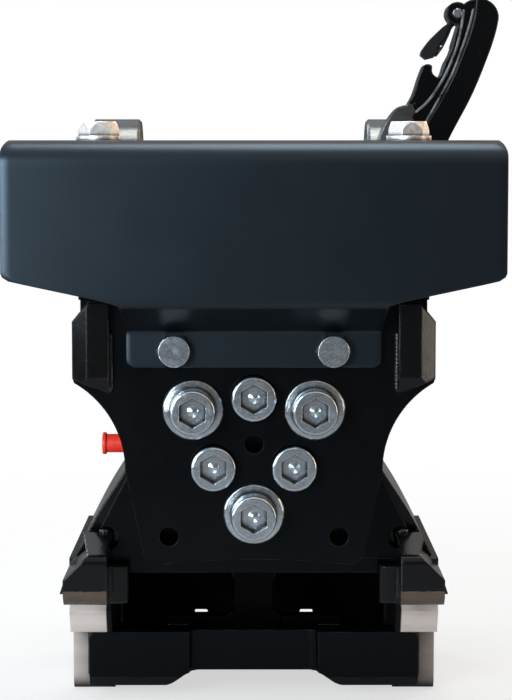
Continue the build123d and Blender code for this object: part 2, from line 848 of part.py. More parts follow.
def front_beam():
    """Front beam with an arched foot, a shallow recess in its face and a bevelled lower edge."""
    arch = beam_bottom + arch_height
    end = arch_half + arch_run
    left_curve = Spline((-end, beam_bottom), (-arch_half, arch),
                        tangents=[(1, arch_start_slope), (1, arch_end_slope)])
    right_curve = Spline((arch_half, arch), (end, beam_bottom),
                         tangents=[(1, -arch_end_slope), (1, -arch_start_slope)])
    face = make_face([
        Line((-beam_half, beam_bottom), (-end, beam_bottom)),
        left_curve,
        Line((-arch_half, arch), (arch_half, arch)),
        right_curve,
        Line((end, beam_bottom), (beam_half, beam_bottom)),
        Line((beam_half, beam_bottom), (beam_half, beam_top)),
        Line((beam_half, beam_top), (-beam_half, beam_top)),
        Line((-beam_half, beam_top), (-beam_half, beam_bottom)),
    ])
    upper = face.vertices().filter_by_position(Axis.Y, beam_top - near, beam_top + near)
    face = fillet(upper, beam_round)
    piece = along_y(face, beam_front, beam_back)
    height = beam_top - beam_bottom
    scoop = extrude(Plane.XY * Pos(0, beam_front) * RectangleRounded(
        2 * beam_recess_half, 2 * beam_recess_depth, beam_recess_depth - near), 2 * height, both=True)
    piece -= Pos(0, 0, beam_bottom) * scoop
    bevel = Pos(0, beam_front, beam_bottom) * Rot(45, 0, 0) * Box(
        4 * beam_half, beam_bevel * sqrt(2), beam_bevel * sqrt(2))
    return piece - bevel


def rear_beam():
    """Wall under the rear end that carries the lock's cylinder, with two small windows."""
    back = housing_back + cross_plate_thickness
    wall = block(-cheek_inner, cheek_inner, housing_back, back, rear_beam_bottom, skirt_bottom)
    wall += block(-frame_inner, frame_inner, housing_back, back, skirt_bottom, lower_deck_bottom)
    window = RectangleRounded(window_width, window_height, window_round)
    for x in (-window_x, window_x):
        wall -= along_y(Pos(x, saddle_bottom - window_drop) * window, housing_back, back)
    return wall


def lock_cylinder():
    start = bar_front + bar_depth + lock_travel_gap
    barrel = rod_y(lock_barrel_radius, start, housing_back, 0, rod_z)
    barrel -= rod_y(lock_bore_radius, start, housing_back - barrel_wall, 0, rod_z)
    flat = lower_deck_bottom - rod_z
    saddle = block(-lock_barrel_radius, lock_barrel_radius, start, housing_back, rod_z, rod_z + flat)
    saddle -= rod_y(lock_bore_radius, start, housing_back - barrel_wall, 0, rod_z)
    return barrel + saddle


def lock_gland():
    start = bar_front + bar_depth + lock_travel_gap
    back = start + lock_gland_length
    return ring_y(lock_bore_radius, rod_radius + running_clearance, start, back, 0, rod_z)


def lock_rod():
    """Rod with its piston; the front end is held in the crosshead."""
    piston_back = housing_back - barrel_wall - lock_piston_gap
    rod = rod_y(rod_radius, bar_front + bar_depth - rod_seat_depth, piston_back, 0, rod_z)
    return rod + rod_y(lock_bore_radius - running_clearance, piston_back - lock_piston_length, piston_back,
                       0, rod_z)


def lock_crosshead():
    """Bar across the frame with a chamfered boss in front, and a post up to the rod."""
    back = bar_front + bar_depth
    bar = block(-bar_half, bar_half, bar_front, back, bar_top - bar_thickness, bar_top)
    boss = block(-boss_half, boss_half, bar_front - boss_proud, back, bar_top - bar_thickness - boss_drop,
                 bar_top + boss_rise)
    ends = boss.edges().filter_by(Axis.Y)
    boss = chamfer(ends, boss_chamfer)
    post_top = rod_z + rod_radius + rod_upstand_wall
    post = block(-rod_upstand_half, rod_upstand_half, bar_front, back, bar_top, post_top)
    post = fillet(post.edges().filter_by(Axis.Y).group_by(Axis.Z)[-1], rod_upstand_round)
    return bar + boss + post - rod_y(rod_radius, back - rod_seat_depth, back, 0, rod_z)


def wedge_top():
    return rear_mouth_z - mouth_radius() - wedge_under_pin


def lock_wedges():
    """Arms that hang from the ends of the bar and reach back under the rear pin."""
    top = wedge_top()
    low = top - wedge_height
    under_bar = bar_top - bar_thickness
    tip = rear_mouth_y + wedge_reach
    profile = make_face(Polyline(
        (bar_front, under_bar),
        (bar_front, low),
        (tip - wedge_tip_run, low),
        (tip, low + wedge_tip_drop),
        (tip, top - wedge_tip_drop),
        (tip - wedge_ramp, top),
        (bar_front + bar_depth, top),
        (bar_front + bar_depth, under_bar),
        close=True))
    return both_sides(along_x(profile, bar_half - wedge_thickness, bar_half))


def wedge_guides():
    """Blocks on the cheeks with a tunnel for each wedge."""
    top = wedge_top()
    low = top - wedge_height
    front = bar_front + bar_depth + guide_gap
    back = front + guide_length
    tunnel_inner = bar_half - wedge_thickness - wedge_slip
    piece = block(tunnel_inner - guide_wall, cheek_inner, front, back, low - wedge_slip - guide_wall,
                  top + wedge_slip + guide_roof)
    piece -= block(tunnel_inner, bar_half + wedge_slip, front, back, low - wedge_slip, top + wedge_slip)
    return both_sides(piece)


def grease_nipple():
    """Nipple on the left side of the housing, pointing outwards."""
    profile = Polyline(
        (0, 0),
        (0, nipple_neck_radius),
        (-nipple_neck_length, nipple_neck_radius),
        (-nipple_neck_length - nipple_taper, nipple_head_radius),
        (-nipple_neck_length - nipple_head_length / 2, nipple_head_radius),
        (-nipple_neck_length - nipple_head_length, nipple_tip_radius),
        (-nipple_neck_length - nipple_head_length, 0),
        close=True)
    head = revolve(make_face(profile), Axis.X)
    hexagon = along_x(Pos(nipple_y, nipple_z) * RegularPolygon(nipple_hexagon_radius, 6),
                      nipple_seat - nipple_hexagon_height, 0)
    whole = hexagon + Pos(nipple_seat - nipple_hexagon_height, nipple_y, nipple_z) * head
    return whole - rod_y(housing_radius, housing_front, housing_back)


def grease_cap():
    """Push-on plastic cap with a rim at its outer end."""
    inner_end = nipple_seat - nipple_hexagon_height - cap_gap
    tip = inner_end - cap_length
    cap = rod_x(cap_radius, tip, tip + cap_rim, nipple_y, nipple_z)
    cap = fillet(cap.edges().filter_by(GeomType.CIRCLE), cap_round)
    cap += rod_x(cap_body_radius, tip + cap_rim / 2, inner_end, nipple_y, nipple_z)
    head_tip = nipple_seat - nipple_hexagon_height - nipple_neck_length - nipple_head_length
    return cap - rod_x(nipple_head_radius + running_clearance, head_tip - running_clearance, inner_end,
                       nipple_y, nipple_z)


def hose_fittings():
    """Hose ends screwed into the two round holes of the rear cross plate."""
    plate_back = housing_back + cross_plate_thickness
    pieces = []
    for x in (-cross_plate_hole_x, cross_plate_hole_x):
        z = cross_plate_hole_z
        body = rod_y(cross_plate_hole_radius - running_clearance, housing_back, plate_back, x, z)
        hexagon = Pos(x, z) * RegularPolygon(cross_plate_hole_radius + port_nut_out, 6)
        nut_back = plate_back + port_nut_height
        end = plate_back + port_length
        body += along_y(hexagon, plate_back, nut_back)
        body += rod_y(port_radius, plate_back, end, x, z)
        pieces.append(body - rod_y(port_radius - port_wall, nut_back, end, x, z))
    return pieces


def hook_back():
    """Curve on which the hook and its plate meet, from the top down to the ear."""
    return Spline(*hook_back_points, tangents=[(0, -1), (-0.5, -1)])


def hook_plate():
    """Leaning plate on the outside of the right ear, which carries the load hook."""
    top = hook_back_points[0]
    low = hook_back_points[-1]
    face = make_face([
        Polyline(low, (ear_outer, hook_foot), (ear_outer + hook_foot_width, hook_foot), hook_edge_points[0]),
        Spline(*hook_edge_points, tangents=[(0.42, 1), (0.15, 1)]),
        ThreePointArc(hook_edge_points[-1], hook_crown, top),
        hook_back(),
    ])
    half = hook_plate_thickness / 2
    return along_y(face, hook_y - half, hook_y + half)


def load_hook():
    """Forged hook along its plate, with a saddle on the ear, a bowl open to the left and a latch eye."""
    top = hook_back_points[0]
    low = hook_back_points[-1]
    face = make_face([
        hook_back(),
        Polyline(low, (ear_outer, hook_saddle_low), (ear_inner, hook_saddle_low), hook_saddle_points[0]),
        Spline(*hook_saddle_points, tangents=[(0.1, 1), (1, 0.1)]),
        Spline(hook_saddle_points[-1], *hook_belly_points, tangents=[(0.6, 1), (0.4, 1)]),
        ThreePointArc(hook_belly_points[-1], hook_tip, hook_bowl_points[0]),
        Spline(*hook_bowl_points, tangents=[(0, -1), (0.3, 1)]),
        ThreePointArc(hook_bowl_points[-1], hook_hump, top),
    ])
    face += Pos(latch_pin_x, latch_pin_z) * Circle(hook_eye)
    half = hook_thickness / 2
    piece = along_y(face, hook_y - half, hook_y + half)
    slot_half = latch_thickness / 2 + latch_slip
    slot_end = latch_pin_x + latch_eye + 2 * latch_slip
    piece -= block(0, slot_end, hook_y - slot_half, hook_y + slot_half, latch_pin_z - hook_eye - latch_slip,
                   2 * latch_pin_z)
    piece -= along_x(ear_outline(), ear_inner, ear_outer)
    return piece - rod_y(latch_pin_radius + running_clearance, hook_y - half, hook_y + half,
                         latch_pin_x, latch_pin_z)


def latch_pin():
    half = hook_thickness / 2 + latch_pin_proud
    return rod_y(latch_pin_radius, hook_y - half, hook_y + half, latch_pin_x, latch_pin_z)


def latch():
    """Safety latch: a fork on its pin and a curved tongue down to the hook's tip."""
    face = make_face([
        Line(latch_neck, latch_outer_points[0]),
        Spline(*latch_outer_points, tangents=[(-1, -0.5), (0, -1)]),
        Polyline(latch_outer_points[-1], *latch_inner_points, latch_neck),
    ])
    face += Pos(latch_pin_x, latch_pin_z) * Circle(latch_eye)
    half = latch_thickness / 2
    piece = along_y(face, hook_y - half, hook_y + half)
    fork_half = half - latch_fork_wall
    piece -= block(0, 2 * latch_pin_x, hook_y - fork_half, hook_y + fork_half, latch_pin_z - latch_eye,
                   2 * latch_pin_z)
    return piece - rod_y(latch_pin_radius + running_clearance, hook_y - half, hook_y + half,
                         latch_pin_x, latch_pin_z)


def latch_spring():
    """Torsion spring round the latch's pin, with one leg down to the floor of the fork."""
    radius = latch_pin_radius + spring_wire + running_clearance
    height = spring_turns * spring_pitch
    path = Helix(spring_pitch, height, radius)
    coil = sweep(Plane(path @ 0, z_dir=path % 0) * Circle(spring_wire), path=path, is_frenet=True)
    coil = Pos(latch_pin_x, hook_y + height / 2, latch_pin_z) * Rot(90, 0, 0) * Rot(0, 0, 180) * coil
    leg = Cylinder(spring_wire, latch_eye, align=(Align.CENTER, Align.CENTER, Align.MAX))
    return coil + Pos(latch_pin_x - radius, hook_y - height / 2, latch_pin_z) * leg


parts = {
    "housing": housing,
    "housing_cap": housing_cap,
    "shaft_seals": shaft_seals,
    "base_casting": base_casting,
    "front_cross_plate": front_cross_plate,
    "rear_cross_plate": rear_cross_plate,
    "lower_deck": lower_deck,
    "right_claw": claw,
    "left_claw": lambda: other_side(claw()),
    "right_cheek": cheek,
    "left_cheek": lambda: other_side(cheek()),
    "front_beam": front_beam,
    "rear_beam": rear_beam,
    "wedge_guides": wedge_guides,
    "lock_cylinder": lock_cylinder,
    "lock_gland": lock_gland,
    "grease_nipple": grease_nipple,
    "grease_cap": grease_cap,
    "hose_fittings": hose_fittings,
    "lock_rod": lock_rod,
    "lock_crosshead": lock_crosshead,
    "lock_wedges": lock_wedges,
    "piston_sleeve": piston_sleeve,
    "piston_seal": piston_seal,
    "shaft": shaft,
    "rear_flange": rear_flange,
    "front_plate": front_plate,
    "rear_plate": lambda: rear_copy(front_plate()),
    "front_collars": collars,
    "rear_collars": lambda: [rear_copy(piece) for piece in collars()],
    "front_collar_screws": collar_screws,
    "rear_collar_screws": lambda: [rear_copy(piece) for piece in collar_screws()],
    "front_plate_screws": plate_screws,
    "rear_plate_screws": lambda: [rear_copy(piece) for piece in plate_screws()],
    "front_lugs": lugs,
    "rear_lugs": lambda: [rear_copy(piece) for piece in lugs()],
    "upper_deck": upper_deck,
    "right_ear": ear,
    "left_ear": lambda: other_side(ear()),
    "ear_bushes": ear_bushes,
    "ear_braces": ear_braces,
    "cover": cover,
    "cover_top_bolts": cover_top_bolts,
    "cover_top_washers": cover_top_washers,
    "cover_front_bolts": cover_front_bolts,
    "hook_plate": hook_plate,
    "load_hook": load_hook,
    "latch_pin": latch_pin,
    "latch": latch,
    "latch_spring": latch_spring,
}
for name, make in parts.items():
    save(name, make())
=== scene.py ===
import math
import bmesh
import bpy
from mathutils import Matrix, Vector


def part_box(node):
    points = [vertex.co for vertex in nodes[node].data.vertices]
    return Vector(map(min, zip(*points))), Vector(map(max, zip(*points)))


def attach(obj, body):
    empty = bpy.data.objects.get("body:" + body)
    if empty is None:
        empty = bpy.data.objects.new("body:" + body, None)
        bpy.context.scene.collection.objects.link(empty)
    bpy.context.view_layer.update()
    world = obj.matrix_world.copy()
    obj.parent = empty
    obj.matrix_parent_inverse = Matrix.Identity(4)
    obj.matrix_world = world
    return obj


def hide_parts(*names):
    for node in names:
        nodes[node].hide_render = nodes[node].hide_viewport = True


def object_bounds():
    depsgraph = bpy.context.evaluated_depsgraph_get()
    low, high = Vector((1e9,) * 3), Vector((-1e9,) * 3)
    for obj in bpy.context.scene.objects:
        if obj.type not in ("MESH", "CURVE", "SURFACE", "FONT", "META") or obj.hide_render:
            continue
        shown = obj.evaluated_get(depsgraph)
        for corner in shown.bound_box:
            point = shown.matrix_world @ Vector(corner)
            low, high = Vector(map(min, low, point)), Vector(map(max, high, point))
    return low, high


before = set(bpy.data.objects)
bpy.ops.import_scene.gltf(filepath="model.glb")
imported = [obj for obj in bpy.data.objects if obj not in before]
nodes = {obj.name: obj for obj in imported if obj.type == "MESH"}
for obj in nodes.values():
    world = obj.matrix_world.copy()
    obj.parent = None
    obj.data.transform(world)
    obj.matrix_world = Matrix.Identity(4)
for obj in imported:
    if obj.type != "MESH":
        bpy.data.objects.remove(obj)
cad_low, cad_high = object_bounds()
scene = bpy.context.scene

# Pieces are drawn in millimetres; the studio and the materials are in metres
MM = 0.001

# Camera, fitted to the photograph, in metres and degrees
CAMERA_PLACE = (-0.0007, -1.1796, 0.1532)
CAMERA_DOWN = 4.963
CAMERA_TURN = -0.09
LENS = 114.15
SENSOR = 36.0

# Colours and strengths of the studio's light, and half the width of its floor in metres
WHITE = (1.0, 1.0, 1.0)
COOL = (0.86, 0.94, 1.0)
WARM = (1.0, 0.80, 0.62)
PALE_BLUE = (0.93, 0.97, 1.0)
FILL = (0.94, 0.97, 1.0)
SKY_LEFT = (0.62, 0.82, 1.0)
SKY_RIGHT = (1.0, 0.74, 0.52)
FILL_STRENGTH = 0.30
HORIZON_STRENGTH = 0.16
FLOOR_IN_REFLECTIONS = 0.20
FLOOR_REACH = 4.0

# Lamps: place, target, size, power and colour
LAMPS = {
    "key": ((-0.62, -1.0, 0.27), (0, 0, 0.05), (0.35, 0.70), 13.0, COOL),
    "left": ((-1.5, -0.15, 0.55), (0, 0, 0.0), (0.8, 1.2), 12.0, PALE_BLUE),
    "top": ((0.1, 0.1, 1.6), (0, 0.05, 0.0), (0.9, 0.7), 12.0, WHITE),
    "right": ((1.5, -0.3, 0.25), (0, 0, 0.0), (0.35, 0.9), 5.0, WARM),
    "back_left": ((-1.0, 1.4, 0.7), (0, 0, 0), (0.6, 0.8), 9.0, COOL),
    "back_right": ((1.1, 1.3, 0.6), (0, 0, 0), (0.5, 0.8), 7.0, WARM),
}


def make_camera():
    data = bpy.data.cameras.new("camera")
    data.sensor_width = SENSOR
    data.lens = LENS
    data.clip_start = 0.05
    data.clip_end = 50.0
    camera = bpy.data.objects.new("camera", data)
    camera.location = CAMERA_PLACE
    camera.rotation_euler = (math.radians(90 - CAMERA_DOWN), 0.0, math.radians(CAMERA_TURN))
    scene.collection.objects.link(camera)
    scene.camera = camera


def make_lights():
    for name, (place, target, size, power, colour) in LAMPS.items():
        data = bpy.data.lights.new(name, "AREA")
        data.shape = "RECTANGLE"
        data.size, data.size_y = size
        data.energy = power
        data.color = colour
        lamp = bpy.data.objects.new(name, data)
        lamp.location = place
        aim = Vector(target) - Vector(place)
        lamp.rotation_euler = aim.to_track_quat("-Z", "Y").to_euler()
        scene.collection.objects.link(lamp)


class Nodes:
    """Short ways to add and join the nodes of a material or of the world."""

    def __init__(self, tree):
        self.tree = tree
        tree.nodes.clear()

    def add(self, kind, **settings):
        node = self.tree.nodes.new(kind)
        for key, value in settings.items():
            setattr(node, key, value)
        return node

    def feed(self, socket, value):
        """Sets a socket to a number or a colour, or links it to another node."""
        if isinstance(value, tuple):
            socket.default_value = (*value, 1.0)
        elif isinstance(value, (int, float)):
            socket.default_value = value
        else:
            self.tree.links.new(value, socket)

    def math(self, operation, first, second=0.0):
        node = self.add("ShaderNodeMath", operation=operation)
        self.feed(node.inputs[0], first)
        self.feed(node.inputs[1], second)
        return node.outputs[0]

    def remap(self, value, low, high, to_low, to_high, kind="LINEAR"):
        """Carries the range from low to high over to another range, and holds it at its ends."""
        node = self.add("ShaderNodeMapRange", interpolation_type=kind)
        limits = {"From Min": low, "From Max": high, "To Min": to_low, "To Max": to_high}
        for name, limit in limits.items():
            node.inputs[name].default_value = limit
        self.feed(node.inputs["Value"], value)
        return node.outputs[0]

    def mix(self, share, first, second):
        node = self.add("ShaderNodeMix", data_type="RGBA")
        self.feed(node.inputs[0], share)
        self.feed(node.inputs[6], first)
        self.feed(node.inputs[7], second)
        return node.outputs[2]

    def mix_shaders(self, share, first, second):
        node = self.add("ShaderNodeMixShader")
        for socket, value in zip(node.inputs, (share, first, second)):
            self.feed(socket, value)
        return node.outputs[0]

    def split(self, vector):
        node = self.add("ShaderNodeSeparateXYZ")
        self.feed(node.inputs[0], vector)
        return node.outputs

    def rays(self, *kinds):
        """1 for rays of these kinds, 0 for the rest."""
        path = self.add("ShaderNodeLightPath")
        share = path.outputs[f"Is {kinds[0]} Ray"]
        for kind in kinds[1:]:
            share = self.math("MAXIMUM", share, path.outputs[f"Is {kind} Ray"])
        return share


def make_world():
    """White to the camera.

    Reflections see it white above and dim along the horizon, cool on the left and warm on the right.
    """
    world = bpy.data.worlds.new("studio")
    scene.world = world
    world.use_nodes = True
    n = Nodes(world.node_tree)
    place = n.split(n.add("ShaderNodeTexCoord").outputs["Generated"])
    direct = n.rays("Camera", "Transmission")
    height = n.remap(place["Z"], 0.12, 0.75, HORIZON_STRENGTH, 1.0, "SMOOTHSTEP")
    tint = n.mix(n.remap(place["X"], -0.6, 0.7, 0.0, 1.0), SKY_LEFT, SKY_RIGHT)
    seen = n.add("ShaderNodeBackground")
    n.feed(seen.inputs["Color"], n.mix(direct, tint, WHITE))
    n.feed(seen.inputs["Strength"], n.math("MAXIMUM", direct, height))
    fill = n.add("ShaderNodeBackground")
    n.feed(fill.inputs["Color"], FILL)
    n.feed(fill.inputs["Strength"], FILL_STRENGTH)
    share = n.rays("Camera", "Glossy", "Transmission")
    out = n.add("ShaderNodeOutputWorld")
    n.feed(out.inputs["Surface"], n.mix_shaders(share, fill.outputs[0], seen.outputs[0]))


def make_floor():
    """Pale floor that keeps the object's shadow and turns into plain white further out."""
    mesh = bpy.data.meshes.new("floor")
    corners = [(-1, -1), (1, -1), (1, 1), (-1, 1)]
    places = [(x * FLOOR_REACH, y * FLOOR_REACH, cad_low.z) for x, y in corners]
    mesh.from_pydata(places, [], [(0, 1, 2, 3)])
    floor = bpy.data.objects.new("floor", mesh)
    scene.collection.objects.link(floor)
    material = bpy.data.materials.new("floor")
    material.use_nodes = True
    n = Nodes(material.node_tree)
    noise = n.add("ShaderNodeTexNoise")
    n.feed(noise.inputs["Scale"], 3.0)
    matt = n.add("ShaderNodeBsdfDiffuse")
    n.feed(matt.inputs["Color"], n.remap(noise.outputs["Fac"], 0.0, 1.0, 0.80, 0.86))
    glow = n.add("ShaderNodeEmission")
    n.feed(glow.inputs["Strength"], n.remap(n.rays("Glossy"), 0.0, 1.0, 1.0, FLOOR_IN_REFLECTIONS))
    away = n.add("ShaderNodeVectorMath", operation="LENGTH")
    n.feed(away.inputs[0], n.add("ShaderNodeTexCoord").outputs["Object"])
    spread = n.remap(away.outputs["Value"], 0.30, 1.10, 0.62, 1.0, "SMOOTHSTEP")
    share = n.math("MULTIPLY", n.rays("Camera", "Glossy", "Transmission"), spread)
    out = n.add("ShaderNodeOutputMaterial")
    n.feed(out.inputs["Surface"], n.mix_shaders(share, matt.outputs[0], glow.outputs[0]))
    mesh.materials.append(material)


# Materials

# A box of object space in metres that is open on every side
OPEN = (None, None, None)

# The screws of an end plate, in metres: circles of the collars and of the screws beside them, radii of
# the heads, the collars and the sockets' dimples, and depths of their slope, dimple and turning marks
COLLAR_CIRCLE = 0.0375
SCREW_CIRCLE = 0.025
HEAD_EDGE = 0.0122
COLLAR_EDGE = 0.0163
DIMPLE_BOTTOM = 0.0004
DIMPLE_EDGE = 0.0030
COLLAR_SLOPE = 0.0004
DIMPLE_DEPTH = 0.0005
MARK_DEPTH = 0.000012
MARK_TURN = 9000.0

# The cheeks, in metres: painted nearer the middle than this, and darkened by painted shade, the claws'
# shadow, above these levels
CHEEK_PAINT_EDGE = 0.083
CHEEK_SHADE_LEVELS = (-0.104, -0.086)


class Shader(Nodes):
    """One procedural material in object coordinates."""

    def __init__(self, name):
        self.material = bpy.data.materials.new(name)
        self.material.use_nodes = True
        super().__init__(self.material.node_tree)
        self.bsdf = self.add("ShaderNodeBsdfPrincipled")
        out = self.add("ShaderNodeOutputMaterial")
        self.feed(out.inputs["Surface"], self.bsdf.outputs[0])
        self.place = self.add("ShaderNodeTexCoord").outputs["Object"]

    def noise(self, scale, detail=3.0, rough=0.55, stretch=None):
        node = self.add("ShaderNodeTexNoise")
        for name, value in (("Scale", scale), ("Detail", detail), ("Roughness", rough)):
            node.inputs[name].default_value = value
        place = self.place
        if stretch is not None:
            mapping = self.add("ShaderNodeMapping")
            mapping.inputs["Scale"].default_value = stretch
            self.feed(mapping.inputs["Vector"], self.place)
            place = mapping.outputs[0]
        self.feed(node.inputs["Vector"], place)
        return node.outputs["Fac"]

    def uneven(self, to_low, to_high, noise, low=0.3, high=0.7):
        """A noise whose usual range is carried over to another one."""
        return self.remap(noise, low, high, to_low, to_high)

    def soft_edges(self, radius):
        """Rounded normal of the edges, and a mask that is 1 on them."""
        bevel = self.add("ShaderNodeBevel", samples=4)
        bevel.inputs["Radius"].default_value = radius
        dot = self.add("ShaderNodeVectorMath", operation="DOT_PRODUCT")
        self.feed(dot.inputs[0], bevel.outputs[0])
        self.feed(dot.inputs[1], self.add("ShaderNodeNewGeometry").outputs["Normal"])
        return bevel.outputs[0], self.remap(dot.outputs["Value"], 0.985, 0.80, 0.0, 1.0)

    def bump(self, height, strength, distance, normal, invert=False):
        node = self.add("ShaderNodeBump", invert=invert)
        values = {"Strength": strength, "Distance": distance, "Height": height, "Normal": normal}
        for name, value in values.items():
            self.feed(node.inputs[name], value)
        return node.outputs[0]

    def inside(self, low, high, soft):
        """1 inside a box of object space, 0 outside, with an uneven border.

        None leaves a side open, and with the low X open the high X holds on both sides of the middle.
        """
        edge = 0.0004
        place = self.split(self.place)
        ragged = self.uneven(-soft, soft, self.noise(160.0, 4.0, 0.6))
        share = None
        for axis in range(3):
            level = place[axis]
            if axis == 0 and low[0] is None:
                level = self.math("ABSOLUTE", level)
            for limit, sign in ((low[axis], 1.0), (high[axis], -1.0)):
                if limit is None:
                    continue
                within = self.math("SUBTRACT", self.math("ADD", level, ragged), limit)
                step = self.remap(self.math("MULTIPLY", within, sign), -edge, edge, 0.0, 1.0)
                share = step if share is None else self.math("MULTIPLY", share, step)
        return share

    def nearest_axis(self, centres):
        """Distance to the nearest of some axes along Y, given in X and Z."""
        place = self.split(self.place)
        nearest = None
        for x, z in centres:
            across = self.math("SUBTRACT", place["X"], x)
            up = self.math("SUBTRACT", place["Z"], z)
            across_square = self.math("MULTIPLY", across, across)
            up_square = self.math("MULTIPLY", up, up)
            distance = self.math("SQRT", self.math("ADD", across_square, up_square))
            nearest = distance if nearest is None else self.math("MINIMUM", nearest, distance)
        return nearest

    def hollow_shade(self, colour, reach, depth, dark=(0.004, 0.004, 0.005)):
        """Painted shade, with a little grime, in sockets, holes and inner corners: the colour darkens
        where ambient occlusion finds them enclosed.
        """
        node = self.add("ShaderNodeAmbientOcclusion", samples=6)
        node.inputs["Distance"].default_value = reach
        return self.mix(self.remap(node.outputs["AO"], 0.95 - depth, 0.95, 1.0, 0.0), colour, dark)

    def finish(self, colour, rough, normal, **constants):
        self.feed(self.bsdf.inputs["Base Color"], colour)
        self.feed(self.bsdf.inputs["Roughness"], rough)
        self.feed(self.bsdf.inputs["Normal"], normal)
        for key, value in constants.items():
            self.bsdf.inputs[key.replace("_", " ").title().replace("Ior", "IOR")].default_value = value
        return self.material


def shade(colour, factor):
    return tuple(min(1.0, c * factor) for c in colour)


def paint(name, colour, rough, worn, wear, peel, edge=0.0009, drift=0.05, zone=None, **constants):
    """Sprayed paint: faint clouding, orange peel, and edges rubbed towards the metal.

    A zone is a box of object space in which the paint gives way to bright steel, whose colour is partly
    a painted reflection.
    """
    s = Shader(name)
    normal, edges = s.soft_edges(edge)
    clouds = s.uneven(0.0, 1.0, s.noise(14.0, 4.0))
    base = s.mix(clouds, shade(colour, 0.8), shade(colour, 1.25))
    patches = s.uneven(0.0, 1.0, s.noise(70.0, 5.0, 0.65), 0.42, 0.62)
    rubbed = s.math("MULTIPLY", s.math("MULTIPLY", edges, patches), wear)
    specks = s.uneven(0.0, 0.35 * wear, s.noise(420.0, 3.0, 0.7), 0.70, 0.76)
    final = s.mix(s.math("MAXIMUM", rubbed, specks), base, worn)
    dull = s.uneven(rough - drift, rough + drift, s.noise(38.0, 5.0, 0.6))
    skin = s.bump(s.noise(520.0, 2.0, 0.5), peel, 0.00035, normal)
    dents = s.bump(s.noise(45.0, 3.0, 0.5), 3 * drift, 0.0006, skin)
    if zone:
        bare = s.inside(zone["low"], zone["high"], zone["soft"])
        streaks = s.uneven(0.0, 1.0, s.noise(1.0, 5.0, 0.7, (60.0, 60.0, 900.0)))
        final = s.mix(bare, final, s.mix(streaks, zone["steel"], shade(zone["steel"], 0.55)))
        s.feed(s.bsdf.inputs["Metallic"], s.math("MULTIPLY", bare, 0.9))
        dull = s.math("ADD", dull, s.math("MULTIPLY", bare, 0.12))
    return s.finish(final, dull, dents, **constants)


def plated(name, colour, tint, rough, turned=()):
    """Bright plating: two tones that drift, fine grain and edges lightened by a painted highlight.

    Round the axes in turned it also has turning marks, sloping collars and a dimple in each socket.
    """
    s = Shader(name)
    normal, edges = s.soft_edges(0.0006)
    base = s.mix(s.uneven(0.0, 1.0, s.noise(55.0, 3.0), 0.35, 0.65), colour, tint)
    sparkle = s.uneven(0.0, 1.0, s.noise(620.0, 4.0, 0.75), 0.36, 0.64)
    grainy = s.mix(sparkle, shade(tint, 0.80), base)
    # Painted highlight: the edges are drawn lighter, as where they catch the lamps
    lit = s.mix(s.math("MULTIPLY", edges, 0.7), grainy, shade(colour, 1.6))
    # Painted shade darkens the sockets and inner corners
    final = s.hollow_shade(lit, 0.0022, 0.40, (0.030, 0.022, 0.016))
    dull = s.uneven(rough - 0.07, rough + 0.12, s.noise(360.0, 4.0, 0.6))
    grain = s.bump(s.noise(900.0, 3.0, 0.7), 0.13, 0.0003, normal)
    if turned:
        radius = s.nearest_axis(turned)
        marks = s.math("MULTIPLY", s.math("SINE", s.math("MULTIPLY", radius, MARK_TURN)), MARK_DEPTH)
        slope = s.remap(radius, HEAD_EDGE, COLLAR_EDGE, 0.0, COLLAR_SLOPE)
        dimple = s.remap(radius, DIMPLE_BOTTOM, DIMPLE_EDGE, 0.0, DIMPLE_DEPTH)
        depth = s.math("ADD", s.math("ADD", marks, slope), dimple)
        grain = s.bump(depth, 1.0, 1.0, grain, invert=True)
    return s.finish(final, dull, grain, metallic=1.0)


def raw_steel(name, light, dark, rough, stretch, metallic, grain_strength, cheek=False):
    """Ground or sawn steel: brushed grain, stains and a rim brightened by a painted highlight.

    On the cheeks the side towards the middle is painted black, and painted shade darkens the top, where
    the claws shade it.
    """
    s = Shader(name)
    normal, edges = s.soft_edges(0.0008)
    grain = s.noise(1.0, 4.0, 0.6, stretch)
    base = s.mix(s.uneven(0.0, 1.0, s.noise(26.0, 6.0, 0.65), 0.36, 0.66), light, dark)
    streaked = s.mix(s.uneven(0.0, 0.45, grain), base, shade(dark, 0.7))
    # Painted highlight: the edges are drawn lighter
    lit = s.mix(s.math("MULTIPLY", edges, 0.6), streaked, shade(light, 1.25))
    # Painted shade darkens the holes and inner corners
    final = s.hollow_shade(lit, 0.016, 0.8)
    if cheek:
        # Painted shade: darker towards the top, where the claws shade the cheeks
        level = s.math("ADD", s.split(s.place)["Z"], s.uneven(-0.004, 0.004, s.noise(60.0, 4.0)))
        final = s.mix(s.remap(level, *CHEEK_SHADE_LEVELS, 0.0, 0.75), final, shade(dark, 0.36))
        painted = s.inside(OPEN, (CHEEK_PAINT_EDGE, None, None), 0.0)
        final = s.mix(painted, final, (0.0022, 0.0024, 0.0028))
        bare = s.math("SUBTRACT", 1.0, painted)
        s.feed(s.bsdf.inputs["Metallic"], s.math("MULTIPLY", bare, metallic))
        s.feed(s.bsdf.inputs["Specular IOR Level"], s.remap(painted, 0.0, 1.0, 0.5, 0.2))
    dull = s.uneven(rough - 0.08, rough + 0.12, grain)
    scored = s.bump(grain, grain_strength, 0.0004, normal)
    pitted = s.bump(s.noise(300.0, 3.0, 0.6), 0.2, 0.0003, scored)
    return s.finish(final, dull, pitted, metallic=metallic)


